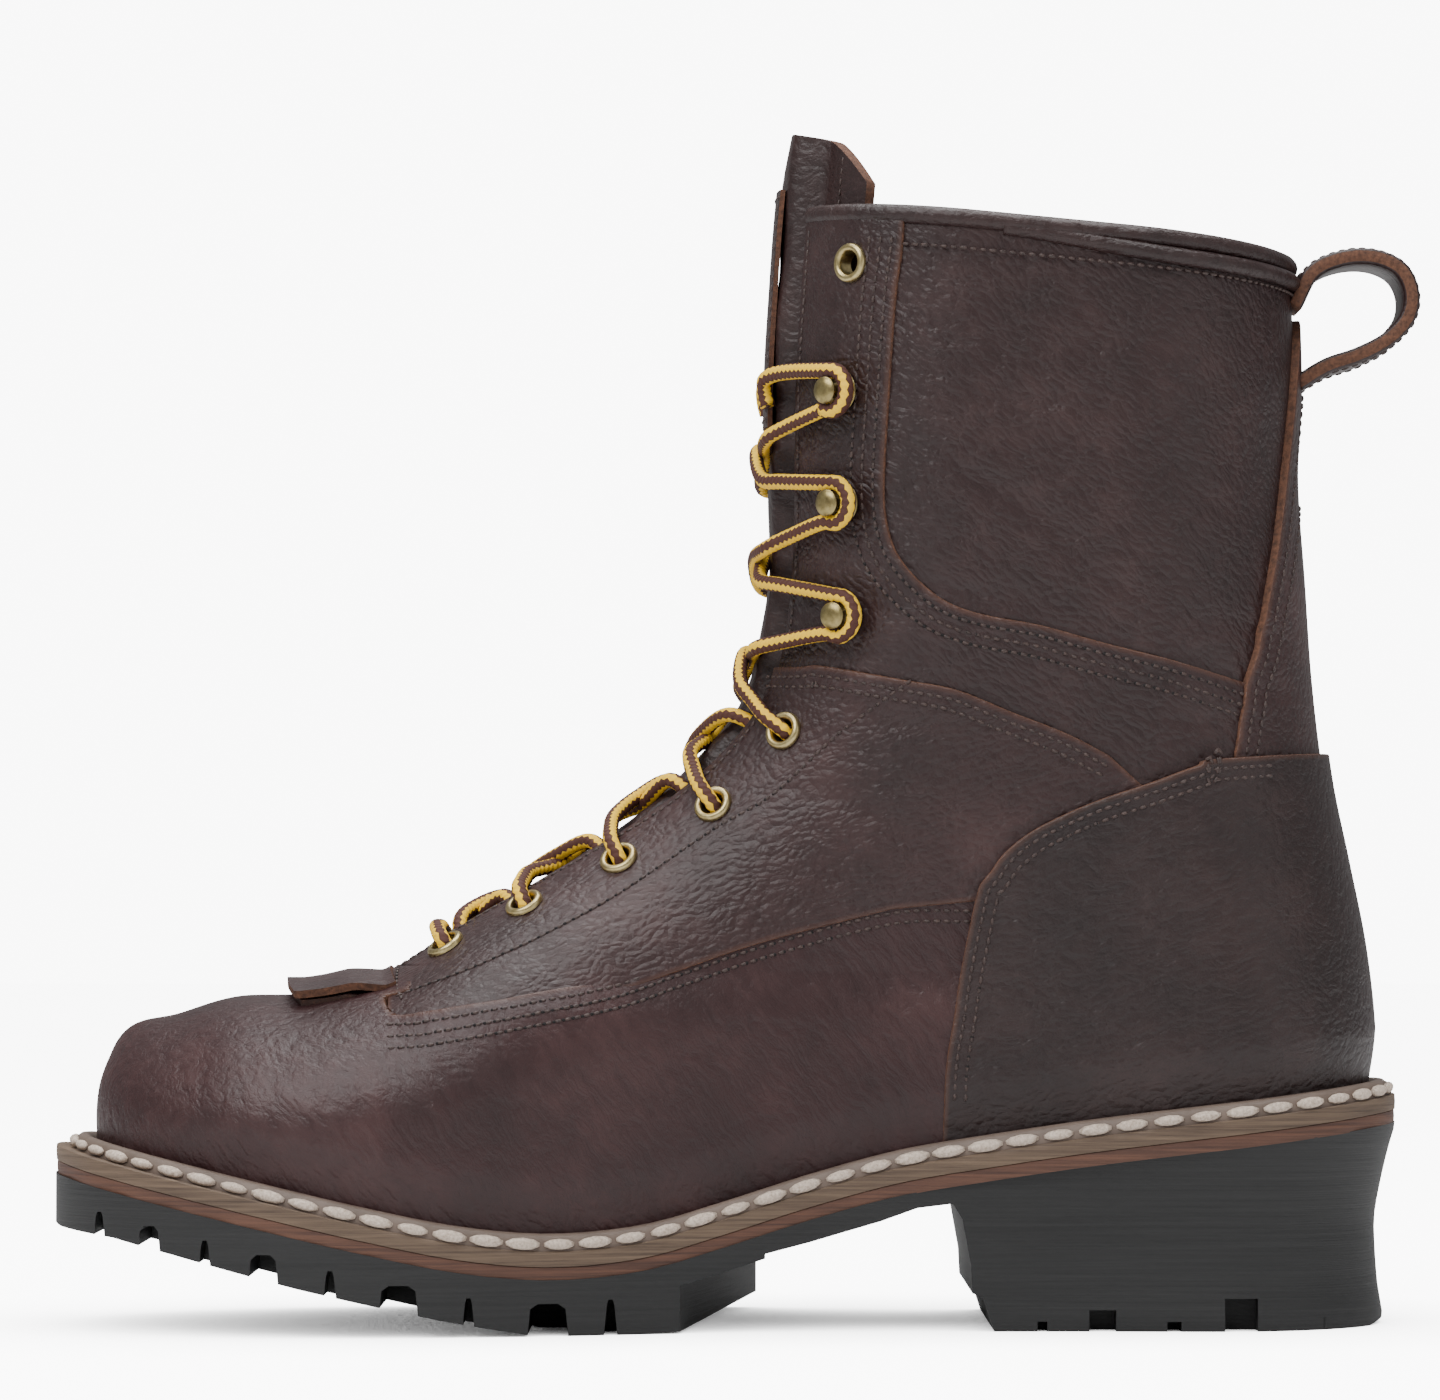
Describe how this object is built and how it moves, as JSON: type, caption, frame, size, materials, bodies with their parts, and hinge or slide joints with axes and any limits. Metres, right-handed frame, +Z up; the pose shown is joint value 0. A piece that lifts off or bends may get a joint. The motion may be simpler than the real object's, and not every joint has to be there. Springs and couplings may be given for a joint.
{
  "type": "logger boot",
  "caption": "High-heeled lace-up work boot with a lug sole, stitched leather panels, a short leather leaf under the laces and a pull loop at the back.",
  "frame": {"origin": "on the floor, at the middle of the heel's resting face", "axes": "-X towards the toe, +Z up, -Y towards the inner side of the foot"},
  "size_m": [0.3258, 0.1162, 0.2841],
  "materials": {
    "rubber": "matte, buffed",
    "leather": "waxed, satin",
    "counter_leather": "waxed, satin",
    "sole_leather": "sanded edge",
    "stained_leather": "sanded edge",
    "welt_leather": "matte",
    "lining_leather": "matte",
    "antique_brass": "antique, satin",
    "lace_cord": "woven"
  },
  "bodies": {
    "root": {"backstay": "leather", "collar_binding": "leather", "eyelet_inner_1": "antique_brass", "eyelet_inner_2": "antique_brass", "eyelet_inner_3": "antique_brass", "eyelet_inner_4": "antique_brass", "eyelet_inner_5": "antique_brass", "eyelet_inner_6": "antique_brass", "eyelet_outer_1": "antique_brass", "eyelet_outer_2": "antique_brass", "eyelet_outer_3": "antique_brass", "eyelet_outer_4": "antique_brass", "eyelet_outer_5": "antique_brass", "eyelet_outer_6": "antique_brass", "facing_inner": "leather", "facing_outer": "leather", "heel_counter": "counter_leather", "hook_inner_1": "antique_brass", "hook_inner_2": "antique_brass", "hook_inner_3": "antique_brass", "hook_outer_1": "antique_brass", "hook_outer_2": "antique_brass", "hook_outer_3": "antique_brass", "insole": "lining_leather", "kiltie": "leather", "lace_bar": "lace_cord", "lace_crossing_1": "lace_cord", "lace_crossing_2": "lace_cord", "lace_crossing_3": "lace_cord", "lace_crossing_4": "lace_cord", "lace_crossing_5": "lace_cord", "lace_crossing_6": "lace_cord", "lace_crossing_7": "lace_cord", "lace_end_inner": "lace_cord", "lace_end_outer": "lace_cord", "midsole": "sole_leather", "midsole_lower": "stained_leather", "outsole": "rubber", "pull_loop": "leather", "quarter_inner": "leather", "quarter_outer": "leather", "storm_welt": "welt_leather", "tongue": "lining_leather", "tongue_patch": "leather", "upper": "leather", "vamp": "leather"}
  },
  "joints": []
}
